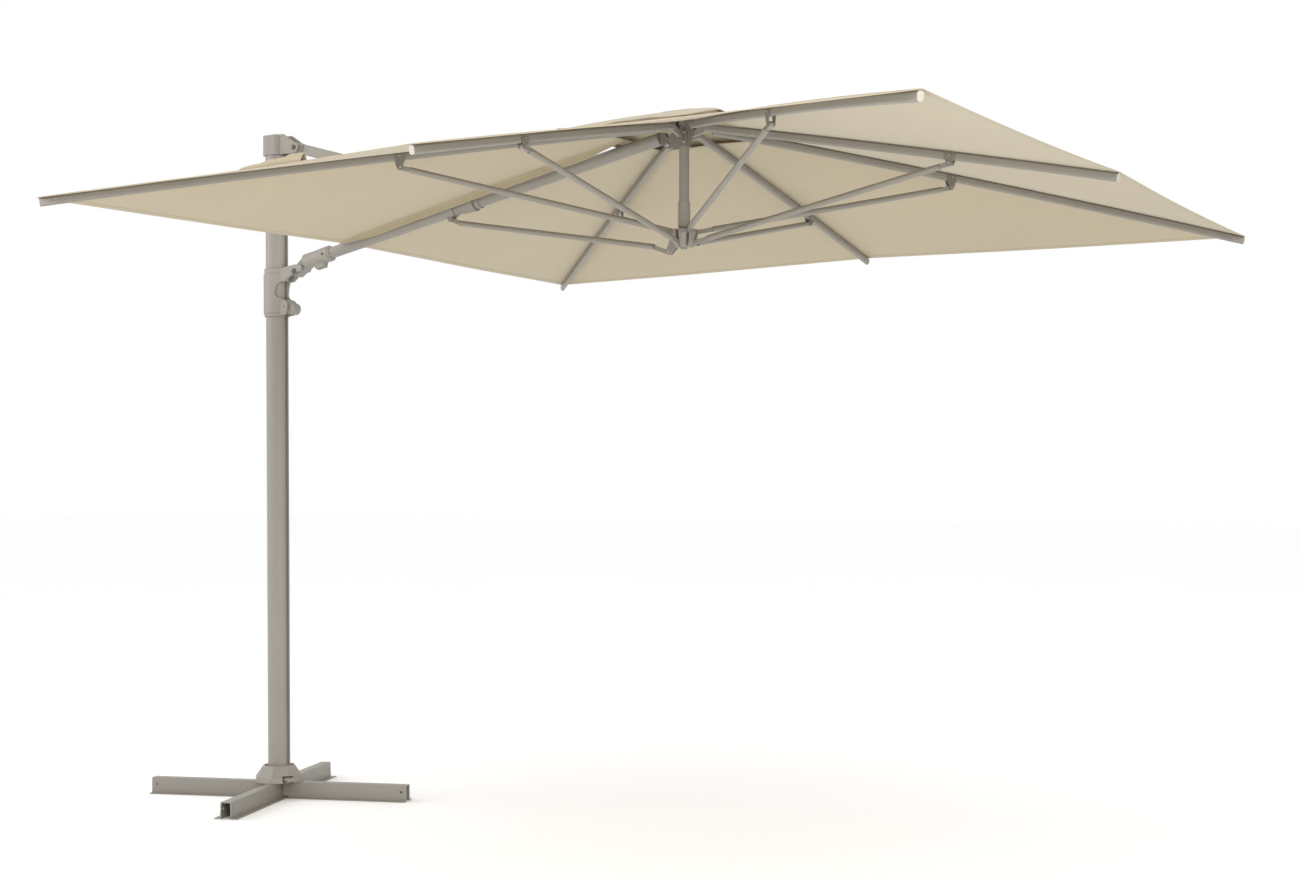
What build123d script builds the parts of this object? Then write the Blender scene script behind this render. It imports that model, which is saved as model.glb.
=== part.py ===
from build123d import *
import math
import os

os.makedirs("parts", exist_ok=True)

# ---------------------------------------------------------------------------
# Cantilever parasol, millimetres, +Z up.
# Origin: on the mast's axis, level with the underside of the base rails.
# +X points from the mast to the canopy, and +Y is the object's left side.
# ---------------------------------------------------------------------------

# Canopy
CANOPY_HALF = 1500.0        # rib tips lie on a square of twice this side
FABRIC_HALF = 1508.0        # half side of the fabric, which laps over the tips
POLE_X = 1860.0             # canopy pole's axis, from the mast's axis
APEX_Z = 2470.0             # where the ribs' centre lines would meet
CORNER_DROP = 332.0         # that point down to the tip of a corner rib
EDGE_DROP = 311.0           # that point down to the tip of an edge rib
FABRIC_T = 1.6              # thickness of the plain fabric solids
VENT_HALF = 316.0           # half side of the square wind vent cap
VENT_TOP = 53.0             # its peak above the apex
VENT_LIFT = 40.0            # its corners above the straight line to the rib tips
SLIT_HALF = 33.0            # half width of the slit that the arm and link pass through

# Canopy linkage: every rib and the arm share one isosceles triangle, with its
# apex at the strut pin, so that the runner moves straight along the pole.
LINK_REACH = 935.0          # pivot to strut pin, measured along the radius
LINK_RISE = 184.0           # strut pin below the rib pivot, and runner pivot below the pin
CORNER_PIVOT = (40.0, 4.0)    # radius, height above the apex
EDGE_PIVOT = (32.0, -36.0)
ARM_PIVOT = (58.0, -62.0)

# Ribs and struts
RIB_W, RIB_H, RIB_WALL = 18.0, 28.0, 1.6
RIB_PLUG = 20.0             # solid length at a rib's inner end
FABRIC_LIFT = 17.0          # fabric's top face above the ribs' centre lines
CORNER_BOW, EDGE_BOW = 9.0, 5.0     # how far the ribs arch above a straight line
STRUT_D, STRUT_WALL = 20.0, 1.8
TONGUE_T = 8.0
PIN_R = 3.0
PIN_HOLE_R = 3.4
BRACKET_BOLT_R = 3.0

# Pole and runner
POLE_R, POLE_BORE = 17.5, 15.5
POLE_END = -350.0           # lower end of the pole, from the apex
SLEEVE_R = 21.0
RUNNER_TOP = -357.0

# Mast and its head
MAST_A, MAST_B = 48.0, 38.0     # half axes of the oval mast tube
MAST_WALL = 3.0
SLIDE_CLEARANCE = 1.0       # between the mast and the slider
MAST_FOOT_Z, MAST_TOP_Z = 86.0, 2541.0
HEAD_TOP_Z = 2619.0
PIVOT_X = 115.0             # head and slider pivots, from the mast's axis
HEAD_PIVOT_Z = 2562.0

# Arm: its axis leaves the mast's axis at this height and slope
ARM_Z0 = 2086.0
ARM_SLOPE = 11.1
ARM_R, ARM_BORE = 22.0, 19.5
RING_S, RING_PIVOT_H = 985.0, 46.0      # ring's place along the arm and its pivot above the axis
CASING_R = 29.0
CASING_END = 292.0          # outer end of the casing, along the arm
CHEEK_REACH = 46.0          # slider pivot to where the casing's round body starts

# Base
RAIL_HALF_LEN = 536.0
RAIL_H = 63.0
RAIL_TOP_W = 34.0
RAIL_FLANGE_W = 92.0
RAIL_T = 3.0
RAIL_TURN = 20.7            # cross turned against the arm's direction
RAIL_HOLE_R = 4.5
RAIL_HOLE_END = 22.0
RAIL_HOLE_Z = 36.0
COVER_TOP_Z = 128.0

cos_a = math.cos(math.radians(ARM_SLOPE))
sin_a = math.sin(math.radians(ARM_SLOPE))


# ---------------------------------------------------------------------------
# Helpers
# ---------------------------------------------------------------------------

def save(name, *solids):
    """Write one node's STEP file."""
    shape = solids[0] if len(solids) == 1 else Compound(children=list(solids))
    if isinstance(shape, (Part, Compound)) and len(shape.solids()) == 1:
        shape = shape.solids()[0]
    export_step(shape, f"parts/{name}.step")


def rod(start, end, radius):
    """Solid round bar between two points."""
    start, end = Vector(*start), Vector(*end)
    axis = end - start
    return Plane(origin=start, z_dir=axis) * extrude_circle(radius, axis.length)


def extrude_circle(radius, length):
    return extrude(Circle(radius), length)


def y_pin(x, z, half, radius):
    """Round pin along Y, centred on the plane y = 0."""
    return rod((x, -half, z), (x, half, z), radius)


def slab_xz(points, y_centre, thickness):
    """Flat plate across Y from a closed outline of (x, z) points."""
    outline = Plane.XZ * make_face(Polyline(*points, close=True))
    return Pos(0, y_centre + thickness / 2, 0) * extrude(outline, thickness)


def button_head(x, y, z, direction, radius=5.5, height=4.0):
    """Button head on a face whose normal runs along Y."""
    head = Plane(origin=(x, y, z), z_dir=(0, direction, 0)) * extrude_circle(radius, height)
    top = head.faces().sort_by(Axis.Y)[-1 if direction > 0 else 0]
    return fillet(top.edges(), height * 0.45)


def on_arm(shape):
    """Place a shape drawn with the arm's axis along +X."""
    return Pos(0, 0, ARM_Z0) * Rot(0, -ARM_SLOPE, 0) * shape


def arm_to_world(s, h):
    return (s * cos_a - h * sin_a, ARM_Z0 + s * sin_a + h * cos_a)


def world_to_arm(x, z):
    return (x * cos_a + (z - ARM_Z0) * sin_a, (z - ARM_Z0) * cos_a - x * sin_a)


RING_PIVOT = arm_to_world(RING_S, RING_PIVOT_H)
SLIDER_PIVOT = (PIVOT_X, 2 * RING_PIVOT[1] - HEAD_PIVOT_Z)
ARM_END = (POLE_X - ARM_PIVOT[0], APEX_Z + ARM_PIVOT[1])
ARM_STRUT_PIN = (ARM_END[0] - LINK_REACH, ARM_END[1] - LINK_RISE)


# ---------------------------------------------------------------------------
# Base: a cross of top-hat rails, a swivel spigot and its cover
# ---------------------------------------------------------------------------

def top_hat_rail(start, end):
    """Top-hat section between two distances along +X, open at the ends."""
    half_top = RAIL_TOP_W / 2
    half_base = RAIL_FLANGE_W / 2
    outline = [
        (-half_base, 0), (-half_top - 2, 0), (-half_top, RAIL_H - RAIL_T),
        (half_top, RAIL_H - RAIL_T), (half_top + 2, 0), (half_base, 0),
        (half_base, RAIL_T), (half_top + 2 + RAIL_T, RAIL_T), (half_top + RAIL_T, RAIL_H),
        (-half_top - RAIL_T, RAIL_H), (-half_top - 2 - RAIL_T, RAIL_T), (-half_base, RAIL_T),
    ]
    section = Plane.YZ * make_face(Polyline(*outline, close=True))
    return Pos(start, 0, 0) * extrude(section, end - start)


def end_hole(distance):
    """Hole through both side walls near a rail's end."""
    reach = RAIL_FLANGE_W / 2
    return y_pin(distance, RAIL_HOLE_Z, reach, RAIL_HOLE_R)


def build_base():
    turn = Rot(0, 0, RAIL_TURN - 90)
    hole_at = RAIL_HALF_LEN - RAIL_HOLE_END
    long_rail = top_hat_rail(-RAIL_HALF_LEN, RAIL_HALF_LEN) - end_hole(hole_at) - end_hole(-hole_at)
    spigot_bolts = [(x, y) for x in (-54, 54) for y in (-9, 9)]
    for x, y in spigot_bolts:
        long_rail -= Pos(x, y, RAIL_H) * Cylinder(3.3, 20)
    long_rail += Pos(0, 0, RAIL_T / 2) * Box(150, RAIL_TOP_W + 6, RAIL_T)
    save("base_rail_long", turn * long_rail)
    gap = RAIL_TOP_W / 2 + RAIL_T + 3.5
    foot = RAIL_FLANGE_W / 2 + 0.5
    short_rail = top_hat_rail(gap, RAIL_HALF_LEN) - end_hole(hole_at)
    short_rail -= Pos(0, 0, RAIL_T) * Box(2 * foot, 200, 2 * RAIL_T + 2)
    save("base_rail_right", turn * Rot(0, 0, 90) * short_rail)
    save("base_rail_left", turn * Rot(0, 0, -90) * short_rail)

    plate_top = RAIL_H + 6
    spigot = Pos(0, 0, RAIL_H + 3) * Box(130, 130, 6)
    spigot = fillet(spigot.edges().filter_by(Axis.Z), 12)
    spigot += Pos(0, 0, plate_top) * extrude_circle(24, 200)
    spigot -= Pos(0, 0, plate_top) * extrude_circle(20, 201)
    for x, y in spigot_bolts + [(0, 55), (0, -55)]:
        spigot -= Pos(x, y, RAIL_H) * Cylinder(3.3, 20)
    save("base_spigot", turn * spigot)
    bolts = []
    for x, y in spigot_bolts:
        shank = Pos(x, y, RAIL_H - 12) * extrude_circle(3, 19)
        head = Pos(x, y, plate_top) * extrude(RegularPolygon(5.5, 6), 4)
        nut = Pos(x, y, RAIL_H - RAIL_T - 5) * extrude(RegularPolygon(5.5, 6), 5)
        bolts.append(turn * (shank + head + nut))
    save("base_bolts", *bolts)

    bearing = Pos(0, 0, plate_top + 0.1) * extrude_circle(44, 9)
    bearing -= Pos(0, 0, plate_top) * extrude_circle(24.1, 12)
    bush = Pos(0, 0, 200) * extrude_circle(MAST_B - MAST_WALL - 0.3, 24)
    bush -= Pos(0, 0, 190) * extrude_circle(24.1, 60)
    save("swivel_bearings", bearing, bush)

    # faceted cone cover, hollow, with an arch over each rail and a window for the pedal
    sides = 8
    low, mid, high = RAIL_H + 0.4, RAIL_H + 22, COVER_TOP_Z
    outer = loft([
        Pos(0, 0, low) * RegularPolygon(100, sides, rotation=22.5),
        Pos(0, 0, mid) * RegularPolygon(96, sides, rotation=22.5),
    ]) + loft([
        Pos(0, 0, mid) * RegularPolygon(96, sides, rotation=22.5),
        Pos(0, 0, high) * RegularPolygon(64, sides, rotation=22.5),
    ])
    inner = loft([
        Pos(0, 0, low - 1) * RegularPolygon(97, sides, rotation=22.5),
        Pos(0, 0, mid) * RegularPolygon(93, sides, rotation=22.5),
    ]) + loft([
        Pos(0, 0, mid) * RegularPolygon(93, sides, rotation=22.5),
        Pos(0, 0, high - 3) * RegularPolygon(61.5, sides, rotation=22.5),
    ])
    throat = Pos(0, 0, high - 8) * extrude_circle(MAST_A + 7, 20)
    cover = outer - inner - throat
    cover -= Pos(85, -40, low + 13) * Rot(0, 0, -25) * Box(60, 44, 30)
    save("base_cover", cover)


def build_pedal():
    """Foot pedal that frees the swivel, hinged on two posts of its bracket."""
    place = Rot(0, 0, -25)
    hinge_x, hinge_z = 62.0, RAIL_H + 17
    bracket = Pos(hinge_x - 4, 0, RAIL_H + 7.4) * Box(20, 46, 2.6)
    for y in (-20, 20):
        bracket += Pos(hinge_x, y, RAIL_H + 16) * Box(14, 5, 18)
    bracket += y_pin(hinge_x, hinge_z, 21, 3)
    save("pedal_bracket", place * bracket)
    pedal = Pos(hinge_x + 28, 0, hinge_z) * Box(62, 34, 12)
    pedal = fillet(pedal.edges().filter_by(Axis.Z), 7)
    pedal -= y_pin(hinge_x, hinge_z, 22, 3.3)
    for groove in (32, 42, 52):
        pedal -= Pos(hinge_x + groove, 0, hinge_z + 6) * Box(4, 24, 5)
    save("rotation_pedal", place * pedal)


# ---------------------------------------------------------------------------
# Mast: oval tube with a track, a foot ring and the head casting
# ---------------------------------------------------------------------------

def mast_section(grow=0.0):
    return Ellipse(MAST_A + grow, MAST_B + grow)


def build_mast():
    length = MAST_TOP_Z - MAST_FOOT_Z
    tube = Pos(0, 0, MAST_FOOT_Z) * extrude(mast_section() - mast_section(-MAST_WALL), length)
    track_slot = Pos(MAST_A, 0, MAST_FOOT_Z + length / 2) * Box(14, 17, length + 2)
    tube -= track_slot
    save("mast_tube", tube)
    track = Pos(MAST_A - 4.2, 0, MAST_FOOT_Z + 30 + (length - 30) / 2) * Box(5.6, 16.4, length - 30)
    track -= Pos(MAST_A - 1.4, 0, MAST_FOOT_Z + length / 2) * Box(4, 7, length + 2)
    save("mast_track", track)

    ring = Pos(0, 0, MAST_FOOT_Z - 7) * extrude(mast_section(5), 52)
    ring -= Pos(0, 0, MAST_FOOT_Z) * extrude(mast_section(0), 60)
    ring -= Pos(0, 0, MAST_FOOT_Z - 10) * extrude_circle(24.6, 20)
    save("mast_foot", ring)

    cap_block = Pos(-1, 0, MAST_TOP_Z) * extrude(
        RectangleRounded(2 * MAST_A - 10, 2 * MAST_B + 6, 20), HEAD_TOP_Z - MAST_TOP_Z)
    spigot = Pos(0, 0, MAST_TOP_Z - 60) * extrude(mast_section(-MAST_WALL - 0.3), 60)
    spigot -= Pos(MAST_A, 0, MAST_TOP_Z - 30) * Box(24, 20, 62)
    head = cap_block + spigot
    for y in (-25, 25):
        cheek = slab_xz(
            [(20, MAST_TOP_Z), (PIVOT_X, HEAD_PIVOT_Z - 21), (PIVOT_X, HEAD_PIVOT_Z + 21),
             (60, HEAD_TOP_Z), (20, HEAD_TOP_Z)], y, 8)
        cheek += rod((PIVOT_X, y - 4, HEAD_PIVOT_Z), (PIVOT_X, y + 4, HEAD_PIVOT_Z), 21)
        head += cheek
    swing = rod((PIVOT_X, -20.6, HEAD_PIVOT_Z), (PIVOT_X, 20.6, HEAD_PIVOT_Z), 31)
    head -= swing
    head -= y_pin(PIVOT_X, HEAD_PIVOT_Z, 40, 6.0)
    save("mast_head", head)
    bolt = y_pin(PIVOT_X, HEAD_PIVOT_Z, 29, 6.0)
    for side in (-1, 1):
        bolt += button_head(PIVOT_X, side * 29, HEAD_PIVOT_Z, side, 9, 5)
    save("head_pivot_bolt", bolt)


# ---------------------------------------------------------------------------
# Upper link from the mast head to the arm's ring
# ---------------------------------------------------------------------------

def build_link():
    dx = RING_PIVOT[0] - PIVOT_X
    dz = RING_PIVOT[1] - HEAD_PIVOT_Z
    length = math.hypot(dx, dz)
    tilt = math.degrees(math.atan2(-dz, dx))
    place = Pos(PIVOT_X, 0, HEAD_PIVOT_Z) * Rot(0, tilt, 0)
    start, stop = 34.0, length - 52.0
    outer = extrude(Plane.YZ * RectangleRounded(26, 40, 6), stop - start)
    inner = extrude(Plane.YZ * RectangleRounded(22, 36, 4), stop - start)
    save("upper_link", place * Pos(start, 0, 0) * (outer - inner))
    insert = extrude(Plane.YZ * RectangleRounded(21.4, 35.4, 3.8), 60)
    near = Pos(start - 2, 0, 0) * insert
    near += Pos(start - 14, 0, 0) * Box(14, 34, 34, align=(Align.MIN, Align.CENTER, Align.CENTER))
    near += Box(34, 34, 30, align=(Align.MIN, Align.CENTER, Align.CENTER))
    near += rod((0, -20, 0), (0, 20, 0), 20)
    near -= rod((0, -30, 0), (0, 30, 0), 6.3)
    save("link_head_eye", place * near)
    far = Pos(stop - 58, 0, 0) * insert
    far += Pos(stop, 0, 0) * Box(14, 26, 36, align=(Align.MIN, Align.CENTER, Align.CENTER))
    far += Pos(stop + 12, 0, 0) * Box(length - stop - 12, 14, 24,
                                      align=(Align.MIN, Align.CENTER, Align.CENTER))
    far += rod((length, -7, 0), (length, 7, 0), 13)
    far -= rod((length, -30, 0), (length, 30, 0), 5.3)
    save("link_ring_eye", place * far)


# ---------------------------------------------------------------------------
# Arm: casing on the slider, ring on the link, and the tube that turns in both
# ---------------------------------------------------------------------------

def build_arm_frame():
    ps, ph = world_to_arm(*SLIDER_PIVOT)
    start, stop = ps + CHEEK_REACH, CASING_END
    casing = rod((start, 0, 0), (stop, 0, 0), CASING_R)
    casing = fillet(casing.edges().filter_by(GeomType.CIRCLE).sort_by(Axis.X)[-1], 9)
    casing += rod((stop - 46, 0, 0), (stop - 8, 0, 0), CASING_R + 1.6)
    eye = rod((ps, -17, ph), (ps, 17, ph), 21)
    neck = slab_xz([(ps, ph - 21), (ps + 60, -CASING_R + 2), (ps + 60, CASING_R - 3),
                    (ps, ph + 21)], 0, 34)
    casing += eye + neck
    grip = slab_xz([(stop - 92, -20), (stop - 86, -42), (stop - 46, -46), (stop - 36, -20)], 0, 26)
    casing += fillet(grip.edges().filter_by(Axis.Y), 4)
    casing -= rod((ps + 52, 0, 0), (stop + 5, 0, 0), ARM_R + 0.4)
    casing -= rod((ps, -30, ph), (ps, 30, ph), 6.3)
    casing -= Pos(stop - 70, 0, -44) * Box(30, 15, 26)
    casing -= rod((stop - 79, -20, -38.5), (stop - 79, 20, -38.5), 2.0)
    save("arm_casing", on_arm(casing))
    trigger = Pos(stop - 70, 0, -41) * Box(27, 14, 13)
    trigger = fillet(trigger.edges().filter_by(Axis.Y), 3)
    trigger -= rod((stop - 79, -20, -38.5), (stop - 79, 20, -38.5), 2.3)
    save("tilt_trigger", on_arm(trigger))
    screws = [on_arm(rod((stop - 79, -12.9, -38.5), (stop - 79, 12.9, -38.5), 2.0))]
    for side in (-1, 1):
        screws.append(on_arm(button_head(stop - 27, side * (CASING_R + 1.6), 0, side, 5, 3)))

    ring = rod((RING_S - 8, 0, 0), (RING_S + 9, 0, 0), 30)
    ring += rod((RING_S - 30, 0, 0), (RING_S - 8, 0, 0), 27)
    for y in (-11.5, 11.5):
        ring += slab_xz([(RING_S - 19, 0), (RING_S - 12, RING_PIVOT_H), (RING_S + 12, RING_PIVOT_H),
                         (RING_S + 19, 0)], y, 7)
        ring += rod((RING_S, y - 3.5, RING_PIVOT_H), (RING_S, y + 3.5, RING_PIVOT_H), 12)
    ring -= rod((RING_S - 40, 0, 0), (RING_S + 40, 0, 0), ARM_R + 0.4)
    ring -= rod((RING_S, -30, RING_PIVOT_H), (RING_S, 30, RING_PIVOT_H), 5.0)
    save("arm_ring", on_arm(ring))
    bolt = rod((RING_S, -15, RING_PIVOT_H), (RING_S, 15, RING_PIVOT_H), 5.0)
    for side in (-1, 1):
        bolt += button_head(RING_S, side * 15, RING_PIVOT_H, side, 8, 5)
    save("arm_frame_bolts", *screws, on_arm(bolt))


def build_arm():
    es, eh = world_to_arm(*ARM_END)
    ps, ph = world_to_arm(*SLIDER_PIVOT)
    ss, sh = world_to_arm(*ARM_STRUT_PIN)
    tube_start, tube_end = ps + 56, es - 34
    tube = rod((tube_start, 0, 0), (tube_end, 0, 0), ARM_R)
    tube -= rod((tube_start - 1, 0, 0), (tube_end + 1, 0, 0), ARM_BORE)
    save("arm_tube", on_arm(tube))
    stops = []
    for s in (RING_S - 44, RING_S + 20):
        collar = rod((s, 0, 0), (s + 13, 0, 0), 26) - rod((s - 1, 0, 0), (s + 14, 0, 0), ARM_R)
        stops.append(on_arm(collar))
    save("arm_collars", *stops)
    fitting = rod((tube_end - 50, 0, 0), (tube_end, 0, 0), ARM_BORE - 0.2)
    fitting += rod((tube_end, 0, 0), (tube_end + 6, 0, 0), ARM_R + 1)
    fitting += slab_xz([(tube_end + 4, -21), (es, eh - 13), (es + 9, eh + 9), (es - 6, 14),
                        (tube_end + 4, 18)], 0, 24)
    fitting += rod((es, -12, eh), (es, 12, eh), 13)
    fitting -= rod((es, -20, eh), (es, 20, eh), 5.3)
    save("arm_end_fitting", on_arm(fitting))

    sleeve = rod((ss - 26, 0, 0), (ss + 24, 0, 0), 25.5) - rod((ss - 30, 0, 0), (ss + 30, 0, 0), ARM_R)
    for y in (-13, 13):
        ear = slab_xz([(ss - 14, -10), (ss - 9, sh), (ss + 9, sh), (ss + 14, -10)], y, 5)
        ear += rod((ss, y - 2.5, sh), (ss, y + 2.5, sh), 9)
        sleeve += ear
    sleeve -= rod((ss - 30, 0, 0), (ss + 30, 0, 0), ARM_R)
    sleeve -= Pos(ss, 0, sh - 4) * Box(60, 21, 34)
    sleeve -= rod((ss, -20, sh), (ss, 20, sh), PIN_R)
    save("arm_strut_bracket", on_arm(sleeve), on_arm(rod((ss, -17.5, sh), (ss, 17.5, sh), PIN_R)))


# ---------------------------------------------------------------------------
# Slider: housing on the mast, its handle and the release lever
# ---------------------------------------------------------------------------

SLIDER_BOTTOM, SLIDER_TOP = 1908.0, 2096.0
LEVER_PIVOT = (64.0, 1944.0)
NOTCH = (1978.0, 2040.0)    # height of the finger notch that bares the mast's track


def slider_cheek(y):
    """Side plate that carries the arm's pivot, swept down into the housing."""
    _, z = SLIDER_PIVOT
    outline = Polyline((10, SLIDER_TOP - 6), (38, SLIDER_TOP - 2), (PIVOT_X, z + 25), (PIVOT_X + 28, z + 24))
    nose = ThreePointArc((PIVOT_X + 28, z + 24), (PIVOT_X + 38, z + 11), (PIVOT_X + 30, z - 2))
    sweep_down = ThreePointArc((PIVOT_X + 30, z - 2), (76, NOTCH[1] + 12), (46, NOTCH[1] - 26))
    back = Polyline((46, NOTCH[1] - 26), (10, NOTCH[1] - 26), (10, SLIDER_TOP - 6))
    face = Plane.XZ * make_face(outline + nose + sweep_down + back)
    return Pos(0, y + 6, 0) * extrude(face, 12)


def build_slider():
    length = SLIDER_TOP - SLIDER_BOTTOM
    body = Pos(0, 0, SLIDER_BOTTOM + 12) * extrude(mast_section(9), length - 34)
    body += Pos(0, 0, SLIDER_TOP - 34) * extrude(mast_section(6), 34)
    body += Pos(0, 0, SLIDER_BOTTOM) * extrude(mast_section(6), 14)
    for side in (-1, 1):
        body += slider_cheek(side * 24)
        ear = slab_xz([(20, SLIDER_BOTTOM + 2), (66, SLIDER_BOTTOM + 4), (78, SLIDER_BOTTOM + 20),
                       (80, SLIDER_BOTTOM + 46), (66, SLIDER_BOTTOM + 62), (20, SLIDER_BOTTOM + 68)],
                      side * 25, 11)
        body += ear
    low, high = NOTCH
    notch = Plane.XZ * make_face(
        Polyline((130, high), (48, high + 4), (30, high - 12), (24, low + 16), (34, low + 2), (130, low - 4))
        + Line((130, low - 4), (130, high)))
    body -= Pos(0, 60, 0) * extrude(notch, 120)
    body -= Pos(80, 0, SLIDER_BOTTOM + 34) * Box(64, 39.2, 86)
    body -= rod((PIVOT_X, -18, SLIDER_PIVOT[1]), (PIVOT_X, 18, SLIDER_PIVOT[1]), 26)
    body -= Pos(PIVOT_X, 0, SLIDER_PIVOT[1] + 20) * Box(90, 36, 90)
    body -= Pos(0, 0, SLIDER_BOTTOM - 5) * extrude(mast_section(SLIDE_CLEARANCE), length + 10)
    body -= y_pin(PIVOT_X, SLIDER_PIVOT[1], 40, 6.0)
    body -= y_pin(LEVER_PIVOT[0], LEVER_PIVOT[1], 40, 3.0)
    pocket_floor = -MAST_A - 4
    slot_z = SLIDER_BOTTOM + 74
    body -= Pos(pocket_floor - 5, 0, slot_z) * Box(10, 30, 92)
    body = body.solids().sort_by(SortBy.VOLUME)[-1]
    save("slider_housing", body)
    plate = Pos(pocket_floor - 1.6, 0, slot_z) * (Box(3, 29, 91) - Box(6, 9, 70))
    save("slider_back_plate", plate)
    bolt = y_pin(PIVOT_X, SLIDER_PIVOT[1], 30, 6.0)
    for side in (-1, 1):
        bolt += button_head(PIVOT_X, side * 30, SLIDER_PIVOT[1], side, 9, 5)
    pin = y_pin(LEVER_PIVOT[0], LEVER_PIVOT[1], 31.5, 3.0)
    save("slider_bolts", bolt, pin)

    x, z = LEVER_PIVOT
    lower = Polyline((x - 8, z + 10), (x - 8, z - 26), (x + 22, z - 32))
    nose = ThreePointArc((x + 22, z - 32), (x + 43, z - 10), (x + 28, z + 12))
    grip = ThreePointArc((x + 28, z + 12), (x + 12, z + 17), (x + 2, z + 28))
    close = Polyline((x + 2, z + 28), (x - 7, z + 26), (x - 8, z + 10))
    lever = Pos(0, 19, 0) * extrude(Plane.XZ * make_face(lower + nose + grip + close), 38)
    lever = fillet(lever.edges().filter_by(GeomType.LINE).filter_by(Axis.Y, reverse=True), 1.5)
    lever -= y_pin(x, z, 30, 3.3)
    save("slider_release_lever", lever)


# ---------------------------------------------------------------------------
# Canopy pole, hub and runner, drawn about the pole's axis with the apex at zero
# ---------------------------------------------------------------------------

def at_pole(shape):
    return Pos(POLE_X, 0, APEX_Z) * shape


CORNERS = {"outer_left": 45, "inner_left": 135, "inner_right": 225, "outer_right": 315}
EDGES = {"outer": 0, "left": 90, "right": 270}
RIB_ANGLES = {**CORNERS, **EDGES}


def pivot_of(name):
    return CORNER_PIVOT if name in CORNERS else EDGE_PIVOT


def radial_slot(angle, inner, outer, low, high, width):
    """Box cutter that runs outwards along one rib's direction."""
    box = Pos((inner + outer) / 2, 0, (low + high) / 2) * Box(outer - inner, width, high - low)
    return Rot(0, 0, angle) * box


def cross_pin(angle, radius_at, height, half, radius):
    return Rot(0, 0, angle) * rod((radius_at, -half, height), (radius_at, half, height), radius)


def build_pole():
    pole = Pos(0, 0, POLE_END) * extrude_circle(POLE_R, -POLE_END + 6)
    pole -= Pos(0, 0, POLE_END - 1) * extrude_circle(POLE_BORE, -POLE_END - 20)
    save("canopy_pole", at_pole(pole))
    sleeve = Pos(0, 0, POLE_END + 2) * extrude_circle(SLEEVE_R, 86)
    sleeve -= Pos(0, 0, POLE_END) * extrude_circle(POLE_R, 100)
    save("pole_sleeve", at_pole(sleeve))

    hub = Pos(0, 0, -9) * extrude_circle(50, 21)
    hub += Pos(0, 0, -18) * extrude_circle(26, 12)
    for name, angle in EDGES.items():
        radius, height = EDGE_PIVOT
        lug = radial_slot(angle, 12, radius, height - 9, -4, 20)
        lug += cross_pin(angle, radius, height, 10, 9)
        lug += radial_slot(angle, radius - 2, radius + 9, height, -4, 20)
        hub += lug
    hub -= Pos(0, 0, -60) * extrude_circle(POLE_R, 66)
    for name, angle in RIB_ANGLES.items():
        radius, _ = pivot_of(name)
        hub -= radial_slot(angle, radius - 10, 80, -60, 20, 13.0)
    hub -= Pos(-45, 0, -44) * Box(126, 46.6, 72)
    hub = hub.solids().sort_by(SortBy.VOLUME)[-1]
    pins = []
    for name, angle in RIB_ANGLES.items():
        radius, height = pivot_of(name)
        hub -= cross_pin(angle, radius, height, 9.5, PIN_R)
        pins.append(at_pole(cross_pin(angle, radius, height, 9.5, PIN_R)))
    save("top_hub", at_pole(hub))

    radius, height = ARM_PIVOT
    plates = []
    for y in (-15.4, 15.4):
        plate = slab_xz([(18, -74), (18, -16), (-30, -16), (-radius - 12, height + 10),
                         (-radius - 12, height - 10), (-40, -76)], y, 5)
        plate -= rod((-radius, -30, height), (-radius, 30, height), 5.0)
        plates.append(plate)
    clamp = plates[0] + plates[1]
    clamp += Pos(0, 0, -45) * Box(36, 36, 58)
    clamp -= Pos(0, 0, -100) * extrude_circle(POLE_R, 100)
    save("arm_clevis", at_pole(clamp))
    bolts = []
    pivot_bolt = rod((-radius, -18, height), (-radius, 18, height), 5.0)
    for side in (-1, 1):
        pivot_bolt += button_head(-radius, side * 18, height, side, 8, 4.5)
        for z in (-26, -58):
            bolts.append(at_pole(button_head(8, side * 18, z, side, 5, 3.5)))
    bolts.append(at_pole(pivot_bolt))
    save("hub_bolts", *pins, *bolts)


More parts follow.
